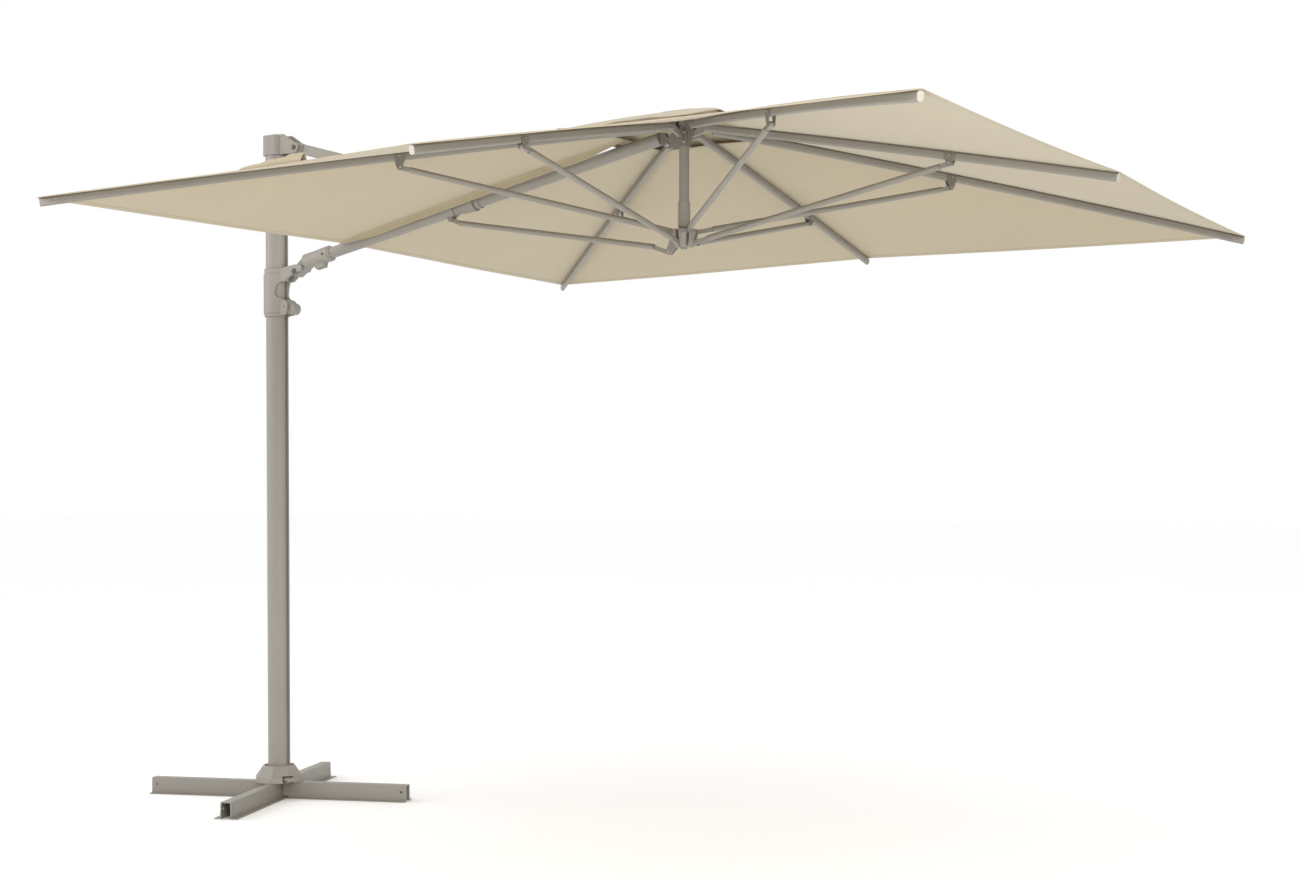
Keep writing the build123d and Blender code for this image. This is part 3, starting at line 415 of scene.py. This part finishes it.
def shell(name, grid, thickness, material, above=0.0):
    """A closed thin sheet: its upper face is the grid moved up its normals by above."""
    grid = np.array(grid, float)
    normals = grid_normals(grid)
    rows, columns = grid.shape[:2]
    top = (grid + normals * above).reshape(-1, 3)
    bottom = (grid + normals * (above - thickness)).reshape(-1, 3)
    along = np.zeros((rows, columns))
    along[1:] = np.cumsum(np.linalg.norm(np.diff(grid, axis=0), axis=2), axis=0)
    across = np.zeros((rows, columns))
    across[:, 1:] = np.cumsum(np.linalg.norm(np.diff(grid, axis=1), axis=2), axis=1)
    uv = np.stack([along, across], axis=2).reshape(-1, 2)
    count = rows * columns
    quads = [(r * columns + c, r * columns + c + 1, (r + 1) * columns + c + 1, (r + 1) * columns + c)
             for r in range(rows - 1) for c in range(columns - 1)]
    a, b, c = (top[i] for i in quads[0][:3])
    if np.cross(b - a, c - a) @ normals[0, 0] < 0:
        quads = [q[::-1] for q in quads]
    faces = quads + [tuple(i + count for i in q[::-1]) for q in quads]
    directed = {(q[i], q[(i + 1) % 4]) for q in quads for i in range(4)}
    rim = [(i, j) for i, j in directed if (j, i) not in directed]
    faces += [(j, i, i + count, j + count) for i, j in sorted(rim)]
    made = made_object(name, np.vstack([top, bottom]), faces, material, np.vstack([uv, uv]).tolist())
    made.data.shade_smooth()
    sharpen(made)
    return made


def sharpen(piece, degrees=40):
    """Edges sharper than this stay crisp under smooth shading."""
    piece.data.set_sharp_from_angle(angle=math.radians(degrees))


def fix_normals(piece):
    work = bmesh.new()
    work.from_mesh(piece.data)
    bmesh.ops.recalc_face_normals(work, faces=work.faces)
    work.to_mesh(piece.data)
    work.free()


def follow(piece, body):
    """Rides on a rib or the arm."""
    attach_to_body(piece, body)
    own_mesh(piece)
    return piece


# ---------------------------------------------------------------- cover over the ribs

SHARES = np.linspace(HOLE_SHARE, HEM_HALF / CANOPY_HALF, 34)


def gore_grid(angle, shares, columns=25):
    return [[on_cloth(*gore_place(angle, across, share)) for across in np.linspace(-1, 1, columns)]
            for share in shares]


def hem_shares():
    end = HEM_HALF / CANOPY_HALF
    return np.linspace(end - HEM_WIDTH / CANOPY_HALF, end + EDGE_LIP / CANOPY_HALF, 5)


def hole_shares():
    return np.linspace(HOLE_SHARE - EDGE_LIP / CANOPY_HALF, HOLE_SHARE + SEAM_WIDTH / CANOPY_HALF, 4)


def edge_strip(name, angle, shares, material):
    """A folded hem, which encloses the sheet's edge. Its rows run along the edge."""
    grid = gore_grid(angle, shares, 41)
    grid = [list(row) for row in zip(*grid)]
    return shell(name, grid, HEM_T, material, above=HEM_LIFT)


def rib_frame(name):
    """Radial and sideways unit vectors, whether it is a corner rib, and its tip radius."""
    angle, corner = RIBS[name], name in CORNERS
    a = math.radians(angle)
    tip = CANOPY_HALF * math.sqrt(2) if corner else CANOPY_HALF
    return Vector((math.cos(a), math.sin(a), 0)), Vector((-math.sin(a), math.cos(a), 0)), corner, tip


def seam_over(name):
    """Two panels meet in a flat seam on top of each rib."""
    out, side, _, tip = rib_frame(name)
    start = HOLE_SHARE * tip + 0.01
    grid = []
    for radius in np.linspace(start, tip - 0.02, 60):
        row = []
        for aside in np.linspace(-SEAM_WIDTH / 2, SEAM_WIDTH / 2, 5):
            place = out * radius + side * aside
            row.append(on_cloth(place.x, place.y))
        grid.append(row)
    seam = shell(f"seam_{name}", grid, 0.0013, SEAM_CLOTH, above=0.0009)
    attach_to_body(seam, f"rib_{name}")
    return seam


def rib_point(name, radius, aside=0.0, up=0.0):
    """A point beside a rib's centre line, up being square to the rib."""
    out, side, corner, _ = rib_frame(name)
    slope = (rib_height(corner, radius + 0.01) - rib_height(corner, radius - 0.01)) / 0.02
    normal = Vector((-slope * out.x, -slope * out.y, 1)).normalized()
    return APEX + out * radius + Vector((0, 0, rib_height(corner, radius))) + side * aside + normal * up


def rib_axes(name, radius):
    along = (rib_point(name, radius + 0.01) - rib_point(name, radius - 0.01)).normalized()
    side = rib_frame(name)[1]
    return along, side, along.cross(side).normalized() * (1 if along.cross(side).z > 0 else -1)


def tip_patch(name):
    """Doubled cloth over the rib's tip, with a rounded inner end."""
    out, side, corner, tip = rib_frame(name)
    length, half = (0.13, 0.055) if corner else (0.09, 0.04)
    grid = []
    for t in np.linspace(0, 1, 14):
        radius = tip - length * (1 - t) - 0.004
        if corner:
            reach = max(0.004, min(half * t, tip + 0.003 - radius))
        else:
            reach = max(0.004, half * math.sqrt(max(0.0, 1 - (1 - t) ** 2)))
        row = [on_cloth(*(out * radius + side * aside).xy) for aside in np.linspace(-reach, reach, 9)]
        grid.append(row)
    patch = shell(f"tip_patch_{name}", grid, 0.0017, TAB_CLOTH, above=0.0012)
    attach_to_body(patch, f"rib_{name}")
    return patch


def slot_outline(width, height, count=12):
    """Outline of an upright rounded slot, as (aside, up) pairs."""
    r = width / 2
    upper = [(r * math.cos(t), height / 2 - r + r * math.sin(t)) for t in np.linspace(0, math.pi, count)]
    return upper + [(-a, -b) for a, b in upper]


def joined_loops(loops):
    """Points and faces of a closed solid through loops of equally many points."""
    n = len(loops[0])
    faces = [(k * n + i, k * n + (i + 1) % n, (k + 1) * n + (i + 1) % n, (k + 1) * n + i)
             for k in range(len(loops) - 1) for i in range(n)]
    faces += [tuple(range(n))[::-1], tuple((len(loops) - 1) * n + i for i in range(n))]
    return [point for loop in loops for point in loop], faces


def end_cap(name):
    """Pressed-in plastic cap with a rounded face, on the rib's open end."""
    tip = rib_frame(name)[3]
    along, side, up = rib_axes(name, tip - 0.012)
    centre = rib_point(name, tip)
    loops = []
    for inset, reach in ((0.0022, -0.014), (0.0022, 0.0003), (0.0002, 0.0005), (0.0, 0.0016),
                         (0.0008, 0.0030), (0.0026, 0.0036)):
        loops.append([centre + along * reach + side * a + up * b
                      for a, b in slot_outline(RIB_W - 2 * inset, RIB_H - 2 * inset)])
    cap = made_object(f"end_cap_{name}", *joined_loops(loops), PALE_PLASTIC)
    fix_normals(cap)
    sharpen(cap, 50)
    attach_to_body(cap, f"rib_{name}")
    return cap


def cover_rib(name, *extra):
    angle = RIBS[name]
    body = f"rib_{name}"
    grid = gore_grid(angle, SHARES)
    sheet = follow(shell(f"cover_{name}", grid, CLOTH_T, CLOTH), body)
    hem = follow(edge_strip(f"hem_{name}", angle, hem_shares(), HEM_CLOTH), body)
    hole = follow(edge_strip(f"vent_edge_{name}", angle, hole_shares(), SEAM_CLOTH), body)
    seam = seam_over(name)
    patch = tip_patch(name)
    end_cap(name)
    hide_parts(f"canopy_panel_{name}")


# ---------------------------------------------------------------- cover over the arm


def arm_grid(side, shares, near, far=None, columns=21):
    """Half of the arm's gore: from a distance beside the arm to another one, or to the next gore."""
    grid = []
    for share in shares:
        edge = 0.5 * share * CANOPY_HALF
        end = edge if far is None else far
        row = []
        for t in np.linspace(0, 1, columns):
            aside = near + (end - near) * t
            across = aside / (share * CANOPY_HALF)
            place = ring_place(180, -side * across, share)
            row.append(on_cloth(*place))
        grid.append(row)
    return grid


def cover_arm():
    halves = []
    for label, side in (("left", 1), ("right", -1)):
        def attach(piece):
            return follow(piece, "arm")
        grid = arm_grid(side, SHARES, SLIT_HALF)
        sheet = attach(shell(f"cover_arm_{label}", grid, CLOTH_T, CLOTH))
        hem_grid = [list(r) for r in zip(*arm_grid(side, hem_shares(), SLIT_HALF, columns=31))]
        hem = attach(shell(f"hem_arm_{label}", hem_grid, HEM_T, HEM_CLOTH, above=HEM_LIFT))
        hole_grid = [list(r) for r in zip(*arm_grid(side, hole_shares(), SLIT_HALF, columns=13))]
        hole = attach(shell(f"vent_edge_arm_{label}", hole_grid, HEM_T, SEAM_CLOTH, above=HEM_LIFT))
        strip_grid = arm_grid(side, SHARES, SLIT_HALF - EDGE_LIP, SLIT_HALF + SEAM_WIDTH, 4)
        strip = attach(shell(f"slit_hem_{label}", strip_grid, HEM_T, SEAM_CLOTH, above=HEM_LIFT))
        flange = attach(slit_flange(label, side))
        halves.append((sheet, grid, [hem, hole, strip, flange]))
    bridge = slit_end()
    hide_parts("canopy_panel_arm")
    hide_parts("canopy_panel_arm")
    halves[0][2].append(bridge)


def slit_flange(label, side):
    """The slit's edge is turned down in a soft roll beside the arm."""
    grid = []
    for share in SHARES:
        place = ring_place(180, -side * SLIT_HALF / (share * CANOPY_HALF), share)
        x, y, z = on_cloth(*place)
        wave = 0.0012 * math.sin(share * 31) + 0.0006 * math.sin(share * 83 + side)
        from_end = min(share - HOLE_SHARE, SHARES[-1] - share)
        hang = SLIT_FLANGE * min(1.0, 0.2 + from_end * 7)
        row = []
        for t in np.linspace(0, 1, 7):
            turn = min(1.0, t * 2.2) * math.pi / 2
            aside = SLIT_ROLL * math.sin(turn) + wave * t
            down = SLIT_ROLL * (1 - math.cos(turn)) + max(0.0, t - 0.45) * hang
            row.append((x, y - side_sign(y) * (aside - 0.0055), z - down))
        grid.append(row)
    return shell(f"slit_edge_{label}", grid, 0.0018, HEM_CLOTH)


def side_sign(y):
    return 1 if y > 0 else -1


def slit_end():
    """Reinforcing patch that joins the halves at the slit's inner end."""
    half = SLIT_HALF + 0.02
    grid = [[on_cloth(-share * CANOPY_HALF, aside) for aside in np.linspace(-half, half, 15)]
            for share in np.linspace(HOLE_SHARE - 0.0004, HOLE_SHARE + 0.028, 6)]
    patch = shell("slit_end", grid, 0.0034, TAB_CLOTH, above=0.0012)
    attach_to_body(patch, "arm")
    return patch


# ---------------------------------------------------------------- vent cap


def vent_height(x, y):
    outward, aside = max(abs(x), abs(y)), min(abs(x), abs(y))
    share = outward / VENT_HALF
    along = aside / max(outward, 1e-9)
    low = VENT_LIFT - CORNER_DROP * VENT_HALF / CANOPY_HALF
    slack = VENT_SLACK * math.sin(math.pi * along) * share ** 2
    flutter = VENT_FLUTTER * share ** 3 * noise.noise(Vector((x * 11, y * 11, 1.5)))
    return VENT_TOP - (VENT_TOP - low) * share ** 1.12 - slack + flutter


def vent_point(angle, across, share):
    if angle % 90 == 0:
        side, m = angle, across / 2
    elif across >= 0:
        side, m = angle + 45, -(1 - across / 2)
    else:
        side, m = angle - 45, 1 + across / 2
    x, y = turned(share * VENT_HALF, m * share * VENT_HALF, side)
    return APEX + Vector((x, y, vent_height(x, y)))


def vent_cap():
    """Eight gores and a round centre patch, so that it can open like a flower as the canopy folds."""
    shares = np.linspace(0.2, 1, 15)
    cap_pieces = []
    sectors = [(f"rib_{n}", n, a, CORNER_KEEP if n in CORNERS else EDGE_KEEP) for n, a in RIBS.items()]
    sectors.append(("arm", "arm", 180, ARM_KEEP))
    for body, label, angle, keep in sectors:
        grid = [[tuple(vent_point(angle, across, share)) for across in np.linspace(-1, 1, 13)]
                for share in shares]
        sheet = follow(shell(f"vent_cap_{label}", grid, CLOTH_T, CLOTH), body)
        edge = [[tuple(vent_point(angle, across, share)) for share in np.linspace(0.95, 1.0, 4)]
                for across in np.linspace(-1, 1, 21)]
        hem = follow(shell(f"vent_hem_{label}", edge, HEM_T, SEAM_CLOTH, above=HEM_LIFT),
                     body)
        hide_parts("vent_cap")
        cap_pieces.append((sheet, grid, body, [hem]))
    centre = round_patch()
    cap_pieces[0][3].append(centre)


def crown_knob():
    """Turned knob on top of the hub. The vent cap's centre rests on it, clear of the ribs."""
    top = vent_height(0.0, 0.0) - 0.0055
    foot = HUB_TOP - APEX.z + 0.0003
    outline = [(0.030, foot), (0.030, foot + 0.003), (0.016, foot + 0.006), (0.013, top - 0.010),
               (0.024, top - 0.0035), (0.026, top - 0.0020), (0.020, top)]
    count = 40
    loops = [[APEX + Vector((r * math.cos(t), r * math.sin(t), z))
              for t in np.linspace(0, 2 * math.pi, count, endpoint=False)] for r, z in outline]
    knob = made_object("crown_knob", *joined_loops(loops), NYLON)
    fix_normals(knob)
    sharpen(knob)
    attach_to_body(knob, "pole")


def round_patch():
    """Doubled centre of the vent cap, held on the hub."""
    grid = []
    for r in np.linspace(0.001, VENT_CENTRE, 7):
        grid.append([tuple(APEX + Vector((r * math.cos(t), r * math.sin(t),
                                          vent_height(r * math.cos(t), r * math.sin(t)))))
                     for t in np.linspace(0, 2 * math.pi, 49)])
    patch = shell("vent_centre", grid, 0.0022, TAB_CLOTH, above=0.0012)
    weld(patch)
    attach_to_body(patch, "pole")
    return patch


def weld(piece, distance=0.00005):
    work = bmesh.new()
    work.from_mesh(piece.data)
    bmesh.ops.remove_doubles(work, verts=work.verts, dist=distance)
    seen = {}
    for face in list(work.faces):
        key = tuple(sorted(v.index for v in face.verts))
        if key in seen:
            work.faces.remove(face)
        else:
            seen[key] = face
    bmesh.ops.recalc_face_normals(work, faces=work.faces)
    work.to_mesh(piece.data)
    work.free()


# ---------------------------------------------------------------- closing strap


def closing_strap():
    """A tie band sewn to the hem. It lies folded lengthwise and stands up towards its free end."""
    grid = []
    for t in np.linspace(0, 1, 44):
        x = STRAP_START + (STRAP_END - STRAP_START) * t
        wave = 0.12 * math.sin(t * 17) + 0.05 * math.sin(t * 41)
        height = 0.003 + STRAP_RISE * t ** 0.7 * (1 + wave)
        lean = 0.005 * math.sin(t * 7)
        open_by = 0.005 + 0.009 * t
        section = [(-open_by, 0.0), (-open_by * 0.8, 0.35), (-open_by * 0.45, 0.75), (0.0, 1.0),
                   (open_by * 0.45, 0.72), (open_by * 0.8, 0.33), (open_by, 0.0)]
        grid.append([on_cloth(x, STRAP_Y + aside + lean * up, 0.0022 + height * up) for aside, up in section])
    strap = shell("closing_strap", grid, 0.0018, TAB_CLOTH)
    return follow(strap, "rib_right")


# ---------------------------------------------------------------- stage


def area_light(name, location, target, size, power, colour=(1, 1, 1)):
    light = bpy.data.lights.new(name, "AREA")
    light.shape = "SQUARE"
    light.size = size
    light.energy = power
    light.color = colour
    lamp = bpy.data.objects.new(name, light)
    lamp.location = location
    lamp.rotation_euler = (Vector(target) - Vector(location)).to_track_quat("-Z", "Y").to_euler()
    bpy.context.scene.collection.objects.link(lamp)


def studio():
    scene = bpy.context.scene
    scene.view_settings.view_transform = "Standard"
    world = bpy.data.worlds.new("studio")
    scene.world = world
    world.use_nodes = True
    world.node_tree.nodes["Background"].inputs["Color"].default_value = (1, 1, 1, 1)
    world.node_tree.nodes["Background"].inputs["Strength"].default_value = 1.0
    floor_mesh = bpy.data.meshes.new("floor")
    half = 60
    floor_mesh.from_pydata([(-half, -half, 0), (half, -half, 0), (half, half, 0), (-half, half, 0)], [],
                           [(0, 1, 2, 3)])
    floor = bpy.data.objects.new("floor", floor_mesh)
    floor.location.z = cad_low.z - 0.0005
    scene.collection.objects.link(floor)
    pale = Finish("pale_floor", 0.9)
    pale.colour(pale.ramp(pale.noise(0.6, 2), (0.98, 0.98, 0.98, 1), (0.99, 0.99, 0.99, 1)))
    floor_mesh.materials.append(pale.material)
    area_light("key", (7.5, -7.0, 6.0), (1.2, 0, 1.6), 4.0, 260)
    area_light("left", (-6.5, -4.0, 4.5), (0.5, 0, 1.6), 4.0, 180)
    area_light("low_fill", (4.0, -5.0, 0.6), (1.8, 0, 2.4), 3.0, 90)


def camera():
    yaw, pitch = math.radians(32.546), math.radians(1.512)
    data = bpy.data.cameras.new("camera")
    data.sensor_width = 36.0
    data.lens = 52.06
    data.shift_x, data.shift_y = 0.0385, 0.0769
    data.clip_end = 200
    made = bpy.data.objects.new("camera", data)
    made.location = (5.0987, -5.6112, 1.2207)
    look = Vector((-math.sin(yaw) * math.cos(pitch), math.cos(yaw) * math.cos(pitch), -math.sin(pitch)))
    made.rotation_euler = look.to_track_quat("-Z", "Y").to_euler()
    bpy.context.scene.collection.objects.link(made)
    bpy.context.scene.camera = made


finish_frame()
for rib in RIBS:
    cover_rib(rib, *([closing_strap()] if rib == "right" else []))
cover_arm()
vent_cap()
crown_knob()
studio()
camera()
